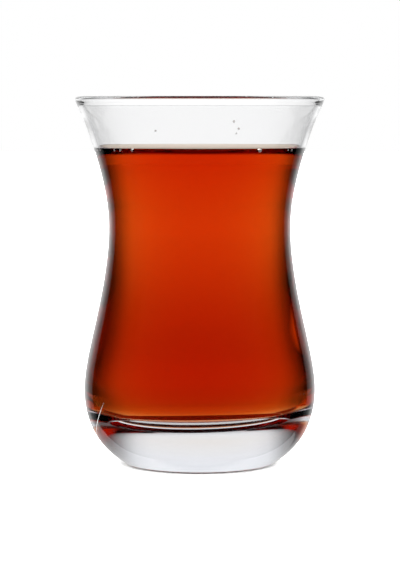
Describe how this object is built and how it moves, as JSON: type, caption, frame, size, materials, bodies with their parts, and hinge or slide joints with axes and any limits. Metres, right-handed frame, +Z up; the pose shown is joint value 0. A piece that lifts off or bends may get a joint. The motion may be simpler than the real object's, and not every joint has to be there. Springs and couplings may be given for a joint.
{
  "type": "turkish tea glass",
  "caption": "Small waisted glass with a round belly, flared lip and thick clear foot, filled with black tea to a little below the lip.",
  "frame": {"origin": "middle of the foot's flat underside", "axes": "+Z up along the axis that the glass is turned about, +Y away from the viewer"},
  "size_m": [0.061, 0.061, 0.09],
  "materials": {
    "clear_glass": "clear polished soda-lime glass",
    "black_tea": "clear red-brown liquid that darkens with depth"
  },
  "bodies": {
    "root": {"glass": "clear_glass", "tea": "black_tea"}
  },
  "joints": []
}
